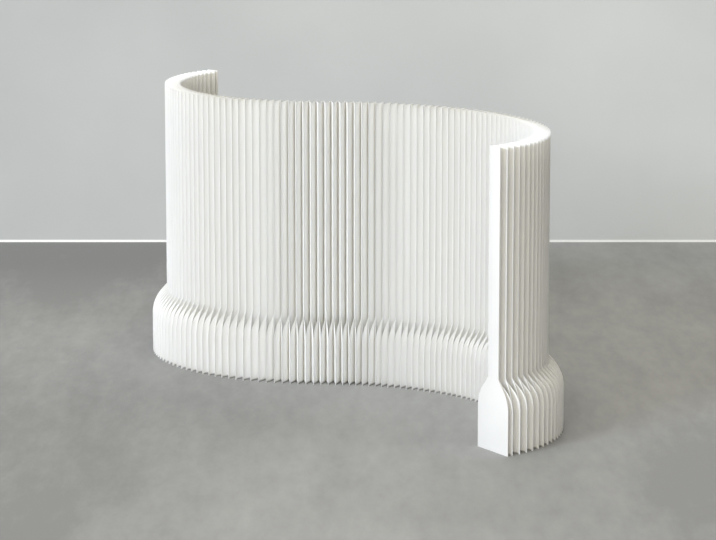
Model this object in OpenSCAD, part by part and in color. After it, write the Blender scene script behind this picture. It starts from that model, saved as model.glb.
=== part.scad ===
// Pleated paper screen.
// A free-standing room divider made of tall paper leaves, standing in a loose S
// on the floor. Each leaf is glued to the next along two upright lines, and to
// the one before it along two others, so the pulled-out stack opens into deep
// pleats above and into a honeycomb in the foot. The wall is narrow above and
// spreads to a wide foot. Seventeen glued sections of leaves are linked by
// single seam leaves that flex, so both arms curl and open. A stiff board closes
// each end.
//
// Frame: +Z up, floor at z = 0, origin under the middle leaf of the screen,
// +X along the line from the left end to the right end.

/* [Size] */
// Height of the whole screen
screen_h = 1500; // [900:10:2100]
// Width of the upright wall from rib tip to rib tip
wall_w = 83; // [60:1:120]
// Width of the foot from rib tip to rib tip
foot_w = 244; // [190:2:300]
// Height of the straight lower part of the foot
foot_h = 210; // [120:5:320]
// Height over which the foot narrows to the wall
foot_rise = 160; // [100:5:220]

/* [Pleats] */
// Length of one whole pleat, two leaves, along the middle of the wall
pleat_pitch = 39; // [30:0.5:50]
// Leaves in the middle section
mid_leaves = 15; // [9:2:21]
// Leaves in each section of the two arms
arm_leaves = 11; // [7:2:15]
// Thickness of one paper leaf
leaf_t = 0.6; // [0.4:0.1:1.2]
// Width of the glued strip along each glue line
glue_w = 6; // [3:0.5:8]
// Thickness of the end boards
board_t = 5; // [3:0.5:10]

/* [Plan curve] */
// Turn of the left arm from the straightest point to its end, in degrees
turn_left = 131.5; // [60:0.5:160]
// Turn of the right arm from the straightest point to its end, in degrees
turn_right = 141; // [60:0.5:160]
// Place of the straightest point, as a share of the length from the left end
bend_at = 0.46; // [0.4:0.01:0.6]
// Share of the left arm over which its bend sets in
ease_left = 0.15; // [0.05:0.05:0.5]
// Share of the right arm over which its bend sets in
ease_right = 0.05; // [0.05:0.05:0.5]
// Share of the left turn that gathers near its end
tighten_left = 0.1; // [0:0.02:0.3]
// Share of the right turn that gathers near its end
tighten_right = 0.26; // [0:0.01:0.3]

/* [Finish] */
// Colour of the paper leaves
paper_tone = "#E9E7E2"; // color
// Colour of the end boards
board_tone = "#F7F7F5"; // color

/* [Hidden] */

// Sections in one arm, and the leaves they bring with their seam leaves.
arm_sections = 8;
arm_step = arm_leaves + 1;
leaf_n = mid_leaves + 2 * arm_sections * arm_step;
half_pitch = pleat_pitch / 2;

// Leaf numbers: the middle section starts at mid_from and ends at mid_to.
mid_from = arm_sections * arm_step;
mid_to = mid_from + mid_leaves;

// Glue line between two leaves, and the clear gap on each side of a seam leaf.
glue_t = 0.1;
seam_gap = 0.4;

// Share of a turn reached at u, from 0 at the straightest point to 1 at the end.
function eased(u, ease) = (u < ease ? u * u / (2 * ease) : u - ease / 2) / (1 - ease / 2);
function turned(u, ease, tighten) = (1 - tighten) * eased(u, ease) + tighten * pow(u, 4);

// Heading of the wall at a share q of its length, before it is laid along +X.
function heading(q) =
    q < bend_at
    ? -turn_left * turned((bend_at - q) / bend_at, ease_left, tighten_left)
    : -turn_right * turned((q - bend_at) / (1 - bend_at), ease_right, tighten_right);

// Middle line of the wall, one point at each joint between two leaves.
function step_x(k) = half_pitch * cos(heading((k + 0.5) / leaf_n));
function step_y(k) = half_pitch * sin(heading((k + 0.5) / leaf_n));
raw_line = [for (k = 0, x = 0, y = 0;
                 k <= leaf_n;
                 x = x + step_x(k), y = y + step_y(k), k = k + 1) [x, y]];
span = raw_line[leaf_n] - raw_line[0];
lay = -atan2(span.y, span.x);
raw_mid = (raw_line[(leaf_n - 1) / 2] + raw_line[(leaf_n + 1) / 2]) / 2;
function laid(p) = [p.x * cos(lay) - p.y * sin(lay), p.x * sin(lay) + p.y * cos(lay)];
line = [for (p = raw_line) laid(p - raw_mid)];
turn = [for (k = [0:leaf_n]) heading(k / leaf_n) + lay];

// Point at joint k, moved ds along the wall and v across it.
function at(k, ds, v) = line[k] + ds * [cos(turn[k]), sin(turn[k])] + v * [-sin(turn[k]), cos(turn[k])];

// Outline of a leaf: half width against height, a convex bend out of the foot,
// a straight slope and a tight concave bend into the upright wall.
draw_in = (foot_w - wall_w) / 2;
slope = 1.55 * atan(draw_in / foot_rise);
bend_sum = (foot_rise * sin(slope) - draw_in * cos(slope)) / (1 - cos(slope));
neck_r = 0.12 * bend_sum;
foot_r = bend_sum - neck_r;
foot_steps = 4;
neck_steps = 2;
foot_bend = [for (i = [0:foot_steps])
    let (a = slope * i / foot_steps)
    [foot_w / 2 - foot_r * (1 - cos(a)), foot_h + foot_r * sin(a)]];
neck_bend = [for (i = [0:neck_steps])
    let (a = slope * (1 - i / neck_steps))
    [wall_w / 2 + neck_r * (1 - cos(a)), foot_h + foot_rise - neck_r * sin(a)]];
profile = concat([[foot_w / 2, 0]], foot_bend, neck_bend, [[wall_w / 2, screen_h]]);

// Edges of the glued strips across a leaf, as [place across the wall, kind]. A
// strip lies at each face of the wall and of the foot. Kind 0 is glued at the
// even joints and kind 1 at the odd joints, so the leaf crosses from one joint
// to the next between each two strips.
wall_tip = wall_w / 2;
foot_tip = foot_w / 2;
glue_half = glue_w / 2;
strips = [
    [-foot_tip - glue_half, 1], [-foot_tip + glue_half, 1],
    [-wall_tip - glue_half, 0], [-wall_tip + glue_half, 0],
    [wall_tip - glue_half, 1], [wall_tip + glue_half, 1],
    [foot_tip - glue_half, 0], [foot_tip + glue_half, 0]
];
function backwards(list) = [for (i = [len(list) - 1:-1:0]) list[i]];

// Faces of leaf k, which lies between joints k and k + 1, gap clear of both.
function at_near(k, s) = k % 2 == s[1];
function low_face(k, gap) = [for (s = strips)
    at_near(k, s) ? at(k, gap, s[0]) : at(k + 1, -gap - leaf_t, s[0])];
function high_face(k, gap) = [for (s = strips)
    at_near(k, s) ? at(k, gap + leaf_t, s[0]) : at(k + 1, -gap, s[0])];

// Solid with the outline of a leaf, from start to start + len along the wall at joint k.
module outline(k, start, len) {
    left = [for (p = profile) [-p[0], p[1]]];
    i = floor(k);
    f = k - i;
    j = min(i + 1, leaf_n);
    p = line[i] + (line[j] - line[i]) * f;
    translate([p.x, p.y, 0])
        rotate([0, 0, turn[i] + (turn[j] - turn[i]) * f])
            rotate([90, 0, 90])
                translate([0, 0, start])
                    linear_extrude(height = len)
                        polygon(concat(profile, backwards(left)));
}

// One folded leaf, cut to the outline.
module leaf(k, gap) {
    intersection() {
        translate([0, 0, -1])
            linear_extrude(height = screen_h + 2)
                polygon(concat(low_face(k, gap), backwards(high_face(k, gap))));
        outline(k + 0.5, -1.5 * half_pitch, 3 * half_pitch);
    }
}

// Glued leaves from joint a to joint b.
module leaves(a, b) {
    color(paper_tone)
        for (k = [a:b - 1])
            leaf(k, glue_t / 2);
}

// One leaf from joint a to joint a + 1, clear of its neighbours.
module seam_leaf(a) {
    color(paper_tone)
        leaf(a, seam_gap);
}

// Flat board with the outline of a leaf, standing at joint k on the side dir.
module board(k, dir) {
    color(board_tone)
        outline(k, dir > 0 ? glue_t / 2 : -glue_t / 2 - board_t, board_t);
}

// Sections and seam leaves of the arms, numbered outwards from the middle.
module left_section(i) {
    leaves(mid_from - i * arm_step, mid_from - (i - 1) * arm_step - 1);
}

module left_seam(i) {
    seam_leaf(mid_from - (i - 1) * arm_step - 1);
}

module right_section(i) {
    leaves(mid_to + (i - 1) * arm_step + 1, mid_to + i * arm_step);
}

module right_seam(i) {
    seam_leaf(mid_to + (i - 1) * arm_step);
}

// Middle section, the one the others are counted from.
module middle_section() leaves(mid_from, mid_to);

// Left arm, from the middle outwards.
module left_seam_leaf_1() left_seam(1);
module left_section_1() left_section(1);
module left_seam_leaf_2() left_seam(2);
module left_section_2() left_section(2);
module left_seam_leaf_3() left_seam(3);
module left_section_3() left_section(3);
module left_seam_leaf_4() left_seam(4);
module left_section_4() left_section(4);
module left_seam_leaf_5() left_seam(5);
module left_section_5() left_section(5);
module left_seam_leaf_6() left_seam(6);
module left_section_6() left_section(6);
module left_seam_leaf_7() left_seam(7);
module left_section_7() left_section(7);
module left_seam_leaf_8() left_seam(8);
module left_section_8() left_section(8);
module left_end_board() board(0, -1);

// Right arm, from the middle outwards.
module right_seam_leaf_1() right_seam(1);
module right_section_1() right_section(1);
module right_seam_leaf_2() right_seam(2);
module right_section_2() right_section(2);
module right_seam_leaf_3() right_seam(3);
module right_section_3() right_section(3);
module right_seam_leaf_4() right_seam(4);
module right_section_4() right_section(4);
module right_seam_leaf_5() right_seam(5);
module right_section_5() right_section(5);
module right_seam_leaf_6() right_seam(6);
module right_section_6() right_section(6);
module right_seam_leaf_7() right_seam(7);
module right_section_7() right_section(7);
module right_seam_leaf_8() right_seam(8);
module right_section_8() right_section(8);
module right_end_board() board(leaf_n, 1);

middle_section();
left_seam_leaf_1();
left_section_1();
left_seam_leaf_2();
left_section_2();
left_seam_leaf_3();
left_section_3();
left_seam_leaf_4();
left_section_4();
left_seam_leaf_5();
left_section_5();
left_seam_leaf_6();
left_section_6();
left_seam_leaf_7();
left_section_7();
left_seam_leaf_8();
left_section_8();
left_end_board();
right_seam_leaf_1();
right_section_1();
right_seam_leaf_2();
right_section_2();
right_seam_leaf_3();
right_section_3();
right_seam_leaf_4();
right_section_4();
right_seam_leaf_5();
right_section_5();
right_seam_leaf_6();
right_section_6();
right_seam_leaf_7();
right_section_7();
right_seam_leaf_8();
right_section_8();
right_end_board();
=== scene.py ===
import math
import random

import bmesh
import bpy
from mathutils import Matrix, Vector


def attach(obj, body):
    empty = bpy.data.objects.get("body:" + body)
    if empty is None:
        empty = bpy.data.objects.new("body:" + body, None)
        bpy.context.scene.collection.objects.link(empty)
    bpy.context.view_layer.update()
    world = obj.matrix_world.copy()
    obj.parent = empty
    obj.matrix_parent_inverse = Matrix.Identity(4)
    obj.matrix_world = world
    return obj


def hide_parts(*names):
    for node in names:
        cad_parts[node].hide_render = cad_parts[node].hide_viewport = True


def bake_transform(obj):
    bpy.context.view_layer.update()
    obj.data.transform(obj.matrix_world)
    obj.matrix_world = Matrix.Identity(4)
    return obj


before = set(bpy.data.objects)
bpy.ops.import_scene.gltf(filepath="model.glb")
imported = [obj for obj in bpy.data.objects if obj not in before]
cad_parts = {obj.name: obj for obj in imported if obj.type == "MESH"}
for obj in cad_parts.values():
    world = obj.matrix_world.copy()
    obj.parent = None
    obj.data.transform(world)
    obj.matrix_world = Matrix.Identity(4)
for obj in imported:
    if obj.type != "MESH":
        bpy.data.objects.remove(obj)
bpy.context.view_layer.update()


# ---------------------------------------------------------------------------
# The paper leaves. About two hundred equal leaves of heavy white paper stand in
# a row, each glued to the next along upright lines. Pulled out, the row opens
# into deep pleats above and a honeycomb in the foot.
# ---------------------------------------------------------------------------

# The line on the floor. The row bends wherever it is pushed, here into an S: a
# left curl, a straighter middle and a right curl.
HALF_PLEAT = 0.0195  # along the line, from one joint between leaves to the next
ARM_SECTIONS = 8
SECTION_LEAVES = 11
MIDDLE_LEAVES = 15
LEAVES = MIDDLE_LEAVES + 2 * ARM_SECTIONS * (SECTION_LEAVES + 1)
STRAIGHTEST = 0.46  # share of the line that lies left of its straightest point
LEFT_CURL = (131.5, 0.15, 0.10)  # an arm's turn in degrees, its easing in, its tightening
RIGHT_CURL = (141.0, 0.05, 0.26)


def arm_turn(u, curl):
    """Turn of an arm at u, from 0 at the straightest point to 1 at the arm's end."""
    degrees, ease, tighten = curl
    spread = (u * u / (2 * ease) if u < ease else u - ease / 2) / (1 - ease / 2)
    return -math.radians(degrees) * ((1 - tighten) * spread + tighten * u ** 4)


def loose_heading(q):
    """Heading of the line at q of its length, before the screen is set down straight."""
    if q < STRAIGHTEST:
        return arm_turn((STRAIGHTEST - q) / STRAIGHTEST, LEFT_CURL)
    return arm_turn((q - STRAIGHTEST) / (1 - STRAIGHTEST), RIGHT_CURL)


loose = [Vector((0.0, 0.0))]
for k in range(LEAVES):
    a = loose_heading((k + 0.5) / LEAVES)
    loose.append(loose[-1] + HALF_PLEAT * Vector((math.cos(a), math.sin(a))))
chord = loose[-1] - loose[0]
lay = -math.atan2(chord.y, chord.x)
middle = (loose[LEAVES // 2] + loose[LEAVES // 2 + 1]) / 2
stand_line = []
for p in loose:
    d = p - middle
    stand_line.append(Vector((d.x * math.cos(lay) - d.y * math.sin(lay),
                              d.x * math.sin(lay) + d.y * math.cos(lay))))
stand_turn = [loose_heading(k / LEAVES) + lay for k in range(LEAVES + 1)]


def wall_point(k, along, across):
    """Point at joint k, moved along and across the wall."""
    p = stand_line[k]
    a = stand_turn[k]
    return Vector((p.x + along * math.cos(a) - across * math.sin(a),
                   p.y + along * math.sin(a) + across * math.cos(a)))


# The outline that every leaf is cut to: a straight foot, a round shoulder, a
# slope drawn in to a tight neck, and a narrow upright.
HEIGHT = 1.5
WALL_HALF = 0.0415
FOOT_HALF = 0.122
FOOT_TOP = 0.210
NECK = 0.370
STEEPEN = 1.55  # the slope's lean against the straight line from foot to upright
NECK_SHARE = 0.12  # of the radii of neck and shoulder together

draw_in = FOOT_HALF - WALL_HALF
rise = NECK - FOOT_TOP
slope = STEEPEN * math.atan2(draw_in, rise)
bends = (rise * math.sin(slope) - draw_in * math.cos(slope)) / (1 - math.cos(slope))
neck_r = NECK_SHARE * bends
shoulder_r = bends - neck_r


def shoulder(steps):
    """(half width, height) pairs of the round shoulder, from the foot up."""
    for i in range(steps + 1):
        a = slope * i / steps
        yield FOOT_HALF - shoulder_r * (1 - math.cos(a)), FOOT_TOP + shoulder_r * math.sin(a)


def neck(steps):
    """(half width, height) pairs of the tight bend into the upright, from the slope up."""
    for i in range(steps + 1):
        a = slope * (1 - i / steps)
        yield WALL_HALF + neck_r * (1 - math.cos(a)), NECK - neck_r * math.sin(a)


# The paper. Uncoated, with cloudy tone and fine felt grain up the sheet, and a
# little light passes through it. Its glued tips are smoother, the lowest edges
# are scuffed, and the folds at the floor hold dust and painted shade, dark where
# the floor between the leaves lies in shadow.
def wire_up(node, sockets):
    """Gives a node's sockets their values or wires."""
    for name, value in sockets.items():
        if isinstance(value, Wire):
            value.tree.links.new(value.socket, node.inputs[name])
        else:
            node.inputs[name].default_value = value


class Wire:
    """One output socket of a material's nodes, for use in plain expressions."""

    def __init__(self, tree, socket):
        self.tree = tree
        self.socket = socket

    def node(self, kind, settings=None, sockets=None, out=0):
        """A new node: its settings first, then the values or wires of its sockets."""
        made = self.tree.nodes.new(kind)
        for name, value in (settings or {}).items():
            setattr(made, name, value)
        wire_up(made, sockets or {})
        return Wire(self.tree, made.outputs[out])

    def math(self, operation, a, b):
        return self.node("ShaderNodeMath", {"operation": operation}, {0: a, 1: b})

    def __add__(self, other):
        return self.math("ADD", self, other)

    def __radd__(self, other):
        return self.math("ADD", other, self)

    def __sub__(self, other):
        return self.math("SUBTRACT", self, other)

    def __rsub__(self, other):
        return self.math("SUBTRACT", other, self)

    def __mul__(self, other):
        return self.math("MULTIPLY", self, other)

    def __rmul__(self, other):
        return self.math("MULTIPLY", other, self)

    def span(self, low, high):
        """0 at low, 1 at high, held at both ends."""
        return self.node("ShaderNodeMapRange", {"clamp": True},
                         {0: self, 1: low, 2: high, 3: 0.0, 4: 1.0})

    def tint(self, a, b):
        """Colour a where this value is 0, colour b where it is 1."""
        return self.node("ShaderNodeMix", {"data_type": "RGBA"}, {0: self, 6: a, 7: b}, out=2)

    def noise(self, scale, detail, roughness=0.5):
        """Cloudy value around a half at this point."""
        return self.node("ShaderNodeTexNoise", sockets={
            "Vector": self, "Scale": scale, "Detail": detail, "Roughness": roughness}, out="Fac")

    def along(self, way):
        """How far this point lies along a direction."""
        return self.node("ShaderNodeVectorMath", {"operation": "DOT_PRODUCT"},
                         {0: self, 1: way}, out=1)

    def height(self):
        return self.node("ShaderNodeSeparateXYZ", sockets={0: self}, out=2)

    def bump(self, strength, distance):
        """Normal of a surface that stands as high as this value says."""
        return self.node("ShaderNodeBump", sockets={
            "Strength": strength, "Distance": distance, "Height": self})


def new_surface(name):
    """An empty material, its Principled shader and its object coordinates."""
    material = bpy.data.materials.new(name)
    material.use_nodes = True
    tree = material.node_tree
    place = Wire(tree, None).node("ShaderNodeTexCoord", out="Object")
    return material, tree.nodes["Principled BSDF"], place


PAPER_TONES = ((0.940, 0.938, 0.923, 1.0), (0.960, 0.959, 0.947, 1.0))
GLUED_TONE = (0.950, 0.948, 0.938, 1.0)
SCUFFED_TONE = (0.520, 0.505, 0.475, 1.0)
# Near black, for dust and painted shade deep in the folds at the floor.
DUST_AND_SHADE_TONE = (0.100, 0.098, 0.094, 1.0)
FELT_STRETCH = (1.0, 1.0, 0.16)
# Where each mark fades, in metres from the middle of the leaf or from the floor.
WALL_TIP_IN = (0.0392, 0.0412)
WALL_TIP_OUT = (0.0420, 0.0440)
FOOT_TIP_IN = (0.1195, 0.1215)
SCUFF_RISE = (0.0, 0.03)
DUST_AND_SHADE_RISE = (0.002, 0.011)
DUST_AND_SHADE_DEPTH = (0.108, 0.119)

paper, paper_shader, place = new_surface("white_pleat_paper")
# A point's distance from the middle of its leaf, and its leaf's own shade.
reach = place.node("ShaderNodeAttribute", {"attribute_name": "reach"}, out="Fac")
leaf_tone = place.node("ShaderNodeAttribute", {"attribute_name": "leaf_tone"}, out="Fac")
above_floor = place.height()

clouds = place.noise(scale=9.0, detail=3.0)
stretched = place.node("ShaderNodeMapping", {"vector_type": "POINT"},
                       {"Vector": place, "Scale": FELT_STRETCH})
felt = stretched.noise(scale=420.0, detail=4.0, roughness=0.6)
flecks = place.noise(scale=1500.0, detail=2.0)

wall_tip = reach.span(*WALL_TIP_IN) * (1.0 - reach.span(*WALL_TIP_OUT))
glued = wall_tip + reach.span(*FOOT_TIP_IN)
scuff = (1.0 - above_floor.span(*SCUFF_RISE)) * clouds.span(0.35, 0.75)
# Dust and painted shade: the paper's lowest centimetre is darkened nearly to black everywhere but
# at the outer foot tips, standing in for the shadow inside the folds at the floor.
fold_dust_and_shade = (1.0 - above_floor.span(*DUST_AND_SHADE_RISE)) * (1.0 - reach.span(*DUST_AND_SHADE_DEPTH))

sheet_tone = clouds * 0.45 + felt * 0.35 + leaf_tone * 0.5
sheet_colour = sheet_tone.span(0.25, 1.0).tint(*PAPER_TONES)
glued_colour = (glued * 0.35).tint(sheet_colour, GLUED_TONE)
worn_colour = (scuff * 0.30).tint(glued_colour, SCUFFED_TONE)
wire_up(paper_shader, {
    "Base Color": (fold_dust_and_shade * 0.85).tint(worn_colour, DUST_AND_SHADE_TONE),
    "Roughness": 0.78 + felt * 0.16 - glued * 0.10,
    "Normal": (felt * 0.7 + flecks * 0.3).bump(strength=0.22, distance=0.0004),
    "Specular IOR Level": 0.30,
    "Subsurface Weight": 0.7,
    "Subsurface Scale": 0.002,
    "Subsurface Radius": (1.0, 1.0, 0.9),
})


# The pleats. Each leaf is glued to the next along upright strips at one face of
# the wall and at the far face of the foot, and to the one before it at the
# other two. The strips stray a little, and the leaves bow between them.
PAPER = 0.0009
GLUE_HALF = 0.003
SAME = 1e-6  # lengths closer than this are one and the same
CROWDED = 0.0003  # columns closer than this are drawn as one
ACROSS = (0.0, 0.1, 0.25, 0.5, 0.75, 0.9, 1.0)  # columns of points between two glue lines
FOOT_ROWS = (0.0, 0.35, 0.7, 1.0)  # rows of points from the floor to the slope or neck
WALL_ROWS = (0.2, 0.4, 0.6, 0.8, 1.0)  # and from the neck to the top
PLEAT_SHARP = math.radians(50)

DRIFT = 0.0003  # spread of a glue line's place along the wall
SWAY = 0.0002  # spread of its waves on the way up
SWAY_WAVES = (0.5, 1.3)  # how many waves from the floor to the top
SWAY_START = (0.0, 6.28)  # where the first of them starts, in radians
BOW = (0.35, 0.50)  # how full the bow is between two glue lines, as a share

glue_lines = (-FOOT_HALF, -WALL_HALF, WALL_HALF, FOOT_HALF)
luck = random.Random(41)
strip_drift = [[luck.gauss(0.0, DRIFT) for line in glue_lines] for k in range(LEAVES + 1)]
strip_sway = [(luck.gauss(0.0, SWAY), luck.uniform(*SWAY_WAVES), luck.uniform(*SWAY_START))
              for k in range(LEAVES + 1)]
leaf_bow = [luck.uniform(*BOW) for k in range(LEAVES)]
leaf_shade = [luck.random() for k in range(LEAVES)]

slope_line = list(shoulder(steps=8)) + list(neck(steps=4))
marks_across = {WALL_HALF, FOOT_HALF} | {half for half, z in slope_line}
for inner, outer in ((-WALL_HALF, WALL_HALF), (WALL_HALF, FOOT_HALF)):
    for f in ACROSS:
        marks_across.add(inner + GLUE_HALF + (outer - inner - 2 * GLUE_HALF) * f)
half_columns = sorted(mark for mark in marks_across if mark > SAME)
half_columns = [c for i, c in enumerate(half_columns)
                if i == 0 or c - half_columns[i - 1] > CROWDED]
columns = [-c for c in reversed(half_columns)] + [0.0] + half_columns


def slope_height(half):
    """Height of the leaf's sloping edge, this far from its middle."""
    if half <= WALL_HALF:
        return NECK
    for (a, low), (b, high) in zip(slope_line, slope_line[1:]):
        if b <= half <= a:
            return high + (low - high) * ((half - b) / (a - b) if a > b else 0.0)
    return FOOT_TOP


def leaf_point(k, v, z):
    """Middle of the paper of leaf k, which lies between joints k and k + 1."""
    n = 0 if v < -WALL_HALF else 1 if v < WALL_HALF else 2
    inner = glue_lines[n] + GLUE_HALF
    outer = glue_lines[n + 1] - GLUE_HALF
    f = min(1.0, max(0.0, (v - inner) / (outer - inner)))
    bowed = f - leaf_bow[k] * math.sin(2 * math.pi * f) / (2 * math.pi)
    share = bowed if (k + n) % 2 else 1.0 - bowed
    line = n if f < 0.5 else n + 1
    ends = []
    for joint, way in ((k, 1), (k + 1, -1)):
        size, waves, start = strip_sway[joint]
        wave = size * math.sin(2 * math.pi * waves * z / HEIGHT + start)
        drift = strip_drift[joint][line] + wave
        ends.append(wall_point(joint, drift + way * PAPER / 2, v))
    return ends[0].lerp(ends[1], share)


def leaf_sheet(k, vertices, faces, marks):
    """Adds leaf k: a folded sheet with its outline cut to foot, slope and upright."""
    core = [i for i, v in enumerate(columns) if abs(v) <= WALL_HALF + SAME]
    spots = [[(i, slope_height(abs(v)) * share) for i, v in enumerate(columns)]
             for share in FOOT_ROWS]
    spots += [[(i, NECK + (HEIGHT - NECK) * share) for i in core] for share in WALL_ROWS]
    grid = []
    number = {}
    for r, row in enumerate(spots):
        plan = [leaf_point(k, columns[i], z) for i, z in row]
        for n, (i, z) in enumerate(row):
            run = plan[min(n + 1, len(plan) - 1)] - plan[max(n - 1, 0)]
            run.normalize()
            number[r, i] = len(grid)
            grid.append((plan[n], z, Vector((run.y, -run.x)) * (PAPER / 2), abs(columns[i])))
    first = len(vertices)
    count = len(grid)
    for way in (1, -1):
        for p, z, side, half in grid:
            vertices.append((p.x + way * side.x, p.y + way * side.y, z))
            marks.append((half, leaf_shade[k]))
    edges = {}
    for r in range(len(spots) - 1):
        for i, z in spots[r + 1][:-1]:
            a, b, c, d = (number[r, i], number[r, i + 1], number[r + 1, i + 1], number[r + 1, i])
            faces.append([first + n for n in (a, b, c, d)])
            faces.append([first + count + n for n in (d, c, b, a)])
            for u, v in ((a, b), (b, c), (c, d), (d, a)):
                if (v, u) in edges:
                    del edges[v, u]
                else:
                    edges[u, v] = True
    for u, v in edges:
        faces.append([first + v, first + u, first + count + u, first + count + v])


def stand(name, data):
    """Puts a new object with this mesh, lamp or lens into the scene."""
    thing = bpy.data.objects.new(name, data)
    bpy.context.scene.collection.objects.link(thing)
    return thing


def pleat_strip(name, first, last):
    """The leaves from joint first to joint last."""
    vertices = []
    faces = []
    marks = []
    for k in range(first, last):
        leaf_sheet(k, vertices, faces, marks)
    mesh = bpy.data.meshes.new(name)
    mesh.from_pydata(vertices, [], faces)
    mesh.shade_smooth()
    mesh.set_sharp_from_angle(angle=PLEAT_SHARP)
    for label, which in (("reach", 0), ("leaf_tone", 1)):
        attribute = mesh.attributes.new(label, "FLOAT", "POINT")
        attribute.data.foreach_set("value", [m[which] for m in marks])
    mesh.materials.append(paper)
    strip = stand(name, mesh)
    return strip


def floor_point(k):
    """The point on the floor under joint k."""
    p = wall_point(k, 0.0, 0.0)
    return (p.x, p.y, 0.0)


# A strip runs from the middle of one section over its seam leaf to the middle of the next.
arm_step = SECTION_LEAVES + 1
half_section = SECTION_LEAVES // 2
middle_first = ARM_SECTIONS * arm_step
middle_last = middle_first + MIDDLE_LEAVES
middle_cut = middle_first + MIDDLE_LEAVES // 2
cuts = {"left": [middle_cut], "right": [middle_cut]}
for i in range(1, ARM_SECTIONS + 1):
    cuts["left"].append(middle_first - i * arm_step + half_section)
    cuts["right"].append(middle_last + i * arm_step - half_section)

for side, outwards in (("left", -1), ("right", 1)):
    for i in range(1, ARM_SECTIONS + 1):
        inner = "middle_section" if i == 1 else f"{side}_section_{i - 1}"
        outer = f"{side}_section_{i}"
        near = cuts[side][i - 1]
        far = cuts[side][i]
        strip = pleat_strip(f"{side}_pleats_{i}", min(near, far), max(near, far))
        floor_point(near + outwards)
        floor_point(far - outwards)
        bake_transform(strip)
        nodes = [f"{side}_seam_leaf_{i}"]
        if i < ARM_SECTIONS:
            nodes.append(outer)
        if side == "right" and i == 1:
            nodes.append("middle_section")
        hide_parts(*nodes)

for side, first, last in (("left", 0, cuts["left"][-1]), ("right", cuts["right"][-1], LEAVES)):
    strip = pleat_strip(f"{side}_end_pleats", first, last)
    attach(strip, f"{side}_section_{ARM_SECTIONS}")
    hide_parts(f"{side}_section_{ARM_SECTIONS}")


# ---------------------------------------------------------------------------
# The end boards. Stiff white-faced board cut to the leaf outline, with softened
# edges. The last leaf of the wall is glued flat to the back of each.
# ---------------------------------------------------------------------------
BOARD = 0.005
BOARD_GAP = 0.0003  # to the joint line of the last leaf
BOARD_ROUNDING = 0.0008
BOARD_RIM = math.radians(60)
BOARD_SHARP = math.radians(40)
BOARD_TONES = ((0.795, 0.788, 0.780, 1.0), (0.822, 0.815, 0.808, 1.0))
BOARD_SCUFFED = (0.56, 0.55, 0.52, 1.0)
BOARD_SCUFF_RISE = (0.0, 0.02)  # metres from the floor

board_face, board_shader, board_place = new_surface("white_faced_board")
board_clouds = board_place.noise(scale=6.0, detail=3.0)
board_grain = board_place.noise(scale=900.0, detail=3.0)
board_scuff = (1.0 - board_place.height().span(*BOARD_SCUFF_RISE)) * board_clouds.span(0.4, 0.8)
board_white = board_clouds.span(0.3, 0.7).tint(*BOARD_TONES)
wire_up(board_shader, {
    "Base Color": (board_scuff * 0.3).tint(board_white, BOARD_SCUFFED),
    "Roughness": 0.42 + board_grain * 0.16,
    "Normal": board_grain.bump(strength=0.12, distance=0.0003),
})

board_slope = list(shoulder(steps=12)) + list(neck(steps=6))
board_outline = [(FOOT_HALF, 0.0)] + board_slope + [(WALL_HALF, HEIGHT)]


def end_board(name, k, way):
    """Board standing square to the wall at fold k, outside the last leaf."""
    loop = board_outline + [(-half, z) for half, z in reversed(board_outline)]
    skin = bmesh.new()
    front = [skin.verts.new((way * BOARD_GAP, half, z)) for half, z in loop]
    back = [skin.verts.new((way * (BOARD_GAP + BOARD), half, z)) for half, z in loop]
    skin.faces.new(front)
    skin.faces.new(back[::-1])
    for i in range(len(loop)):
        j = (i + 1) % len(loop)
        skin.faces.new((front[j], front[i], back[i], back[j]))
    bmesh.ops.recalc_face_normals(skin, faces=skin.faces)
    rims = [e for e in skin.edges if len(e.link_faces) == 2 and e.calc_face_angle() > BOARD_RIM]
    bmesh.ops.bevel(skin, geom=rims, offset=BOARD_ROUNDING, segments=3, profile=0.5,
                    affect="EDGES")
    p = stand_line[k]
    skin.transform(Matrix.Translation((p.x, p.y, 0.0)) @ Matrix.Rotation(stand_turn[k], 4, "Z"))
    mesh = bpy.data.meshes.new(name)
    skin.to_mesh(mesh)
    skin.free()
    mesh.shade_smooth()
    mesh.set_sharp_from_angle(angle=BOARD_SHARP)
    mesh.materials.append(board_face)
    board = stand(name, mesh)
    return board


for side, k, way in (("left", 0, -1), ("right", LEAVES, 1)):
    board = end_board(f"{side}_board_face", k, way)
    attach(board, f"{side}_section_{ARM_SECTIONS}")
    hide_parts(f"{side}_end_board")


# ---------------------------------------------------------------------------
# The studio floor. Matt grey, mottled in long soft clouds with finer spots. It
# has painted shade towards the wall and at the near corners, and on the far side
# painted light on the right, where the screen's shadow falls, and a little
# painted shade on the left.
# ---------------------------------------------------------------------------
VIEW_TURN = math.radians(151.882)  # the way the camera looks, in plan
view_run = Vector((math.cos(VIEW_TURN), math.sin(VIEW_TURN), 0.0))
view_right = Vector((math.sin(VIEW_TURN), -math.cos(VIEW_TURN), 0.0))

FLOOR_TONES = ((0.240, 0.243, 0.251, 1.0), (0.404, 0.407, 0.419, 1.0))
FLOOR_END = 60
MOTTLE_STRETCH = 0.28

# Metres from the middle of the screen, away from the camera and to its right.
floor_grey, floor_shader, floor_place = new_surface("matt_grey_floor")
away = floor_place.along(view_run)
aside = floor_place.along(view_right)

drawn_out = floor_place.node("ShaderNodeCombineXYZ", sockets={0: aside, 1: away * MOTTLE_STRETCH})
floor_clouds = drawn_out.noise(scale=2.2, detail=4.0)
floor_spots = drawn_out.noise(scale=13.0, detail=6.0, roughness=0.65)
floor_mottle = floor_clouds * 0.65 + floor_spots * 0.45
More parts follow.
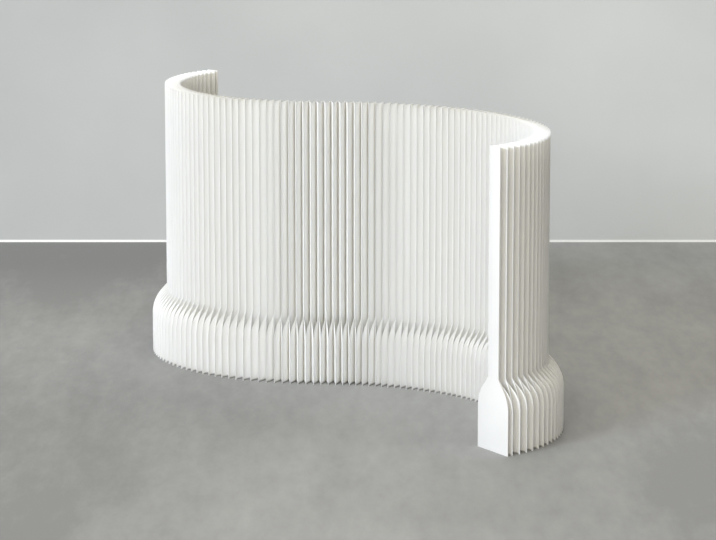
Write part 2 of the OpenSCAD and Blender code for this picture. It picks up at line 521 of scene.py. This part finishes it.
# Painted light and shade: darker at the near corners and towards the wall, and on the far side
# lighter on the right, where the screen's shadow falls, and a little darker on the left.
painted_shade_near_corners = (1.0 - away.span(-2.2, 1.2)) * (aside * aside).span(0.0, 2.0)
painted_far_side_light = away.span(1.0, 3.8) * (aside.span(-1.5, 1.5) * 0.52 - 0.16)
floor_tone = floor_mottle - away.span(-3.0, 4.0) * 0.35 - painted_shade_near_corners * 0.34 + painted_far_side_light
wire_up(floor_shader, {
    "Base Color": floor_tone.span(0.17, 0.77).tint(*FLOOR_TONES), "Roughness": 0.8})


def studio_plane(name, corners, finish):
    """A flat stage surface with this finish."""
    mesh = bpy.data.meshes.new(name)
    mesh.from_pydata(corners, [], [(0, 1, 2, 3)])
    mesh.materials.append(finish)
    stand(name, mesh)


studio_plane("studio_floor", [(-FLOOR_END, -FLOOR_END, 0), (FLOOR_END, -FLOOR_END, 0),
                              (FLOOR_END, FLOOR_END, 0), (-FLOOR_END, FLOOR_END, 0)], floor_grey)


# ---------------------------------------------------------------------------
# The studio wall. A plain pale wall square to the view, well behind the screen,
# with painted light towards the right, where the screen's shadow falls, and a low
# white skirting. Seen from behind, both are clear, so that the back of the screen
# can be looked at.
# ---------------------------------------------------------------------------
WALL_TONES = ((0.463, 0.471, 0.475, 1.0), (0.607, 0.616, 0.617, 1.0))
WALL_FOOT = Vector((-3.5084, 1.8544, 0.0))
WALL_TOP = 2.6
WALL_END = 40.0
SKIRTING_TONE = (0.95, 0.95, 0.94, 1.0)
SKIRTING_TOP = 0.0157
SKIRTING_DEPTH = 0.012


def clear_behind(place):
    """1 on the side that faces the screen and 0 on the other."""
    return 1.0 - place.node("ShaderNodeNewGeometry", out="Backfacing")


def upright_plane(name, foot, top, finish):
    """A plane square to the view, standing on the floor at foot."""
    low = [foot - WALL_END * view_right, foot + WALL_END * view_right]
    high = [p + Vector((0.0, 0.0, top)) for p in reversed(low)]
    studio_plane(name, low + high, finish)


wall_grey, wall_shader, wall_place = new_surface("matt_pale_wall")
wall_clouds = wall_place.noise(scale=0.9, detail=5.0).span(0.3, 0.7)
# Painted light: the wall grows paler towards the right, where the screen's shadow falls on it.
wall_painted_light = wall_place.along(view_right).span(-1.8, 1.8)
wall_tone = wall_clouds * 0.32 + wall_painted_light * 0.74
wire_up(wall_shader, {
    "Base Color": (wall_tone - 0.03).tint(*WALL_TONES), "Roughness": 0.9,
    "Alpha": clear_behind(wall_place)})
upright_plane("studio_wall", WALL_FOOT, WALL_TOP, wall_grey)

skirting_white, skirting_shader, skirting_place = new_surface("white_skirting")
wire_up(skirting_shader, {
    "Base Color": SKIRTING_TONE, "Roughness": 0.6, "Alpha": clear_behind(skirting_place)})
upright_plane("studio_skirting", WALL_FOOT - SKIRTING_DEPTH * view_run, SKIRTING_TOP,
              skirting_white)


# ---------------------------------------------------------------------------
# The light. A cool key lamp far off on the left, a broad warm lamp in front, a
# warm lamp at the ceiling, another behind the screen, and warm dim air.
# ---------------------------------------------------------------------------
AIM = Vector((0.0, 0.0, 0.7))  # about half way up the screen

world = bpy.data.worlds.new("studio_air")
bpy.context.scene.world = world
world.use_nodes = True
wire_up(world.node_tree.nodes["Background"], {
    "Color": (1.0, 0.94, 0.82, 1.0), "Strength": 0.277})


def soft_lamp(name, side, up, distance, size, watts, tone):
    """Square lamp aimed at the screen, side degrees right of the view and up degrees high."""
    lamp = bpy.data.lights.new(name, "AREA")
    lamp.shape = "SQUARE"
    lamp.size = size
    lamp.energy = watts
    lamp.color = tone
    holder = stand(name, lamp)
    holder.visible_camera = False
    a = math.radians(side)
    b = math.radians(up)
    level = view_right * math.sin(a) - view_run * math.cos(a)
    towards = level * math.cos(b) + Vector((0.0, 0.0, math.sin(b)))
    holder.location = AIM + distance * towards
    holder.rotation_euler = (-towards).to_track_quat("-Z", "Y").to_euler()


soft_lamp("key_lamp", side=-45.0, up=20.0, distance=45.0, size=13.5, watts=15000.0,
          tone=(0.82, 0.895, 1.0))
soft_lamp("front_lamp", side=-10.0, up=15.0, distance=45.0, size=22.5, watts=6950.0,
          tone=(1.0, 0.965, 0.85))
soft_lamp("ceiling_lamp", side=-20.0, up=78.0, distance=14.0, size=7.0, watts=770.0,
          tone=(1.0, 0.965, 0.78))
soft_lamp("back_lamp", side=165.0, up=45.0, distance=14.0, size=7.0, watts=700.0,
          tone=(1.0, 0.97, 0.90))


# ---------------------------------------------------------------------------
# The camera. A long lens, nearly 16 m back from the screen and well above its
# top edge, tilted down.
# ---------------------------------------------------------------------------
VIEW_DOWN = math.radians(9.9476)
SQUARE = math.radians(90.0)

view_lens = bpy.data.cameras.new("studio_camera")
view_lens.sensor_fit = "HORIZONTAL"
view_lens.sensor_width = 36.0
view_lens.lens = 151.602
view_lens.shift_y = -0.1
view_lens.clip_end = 200.0
camera = stand("studio_camera", view_lens)
camera.location = (13.8318, -7.4113, 3.7401)
camera.rotation_euler = (SQUARE - VIEW_DOWN, 0.0, VIEW_TURN - SQUARE)
bpy.context.scene.camera = camera
bpy.context.scene.view_settings.view_transform = "Standard"
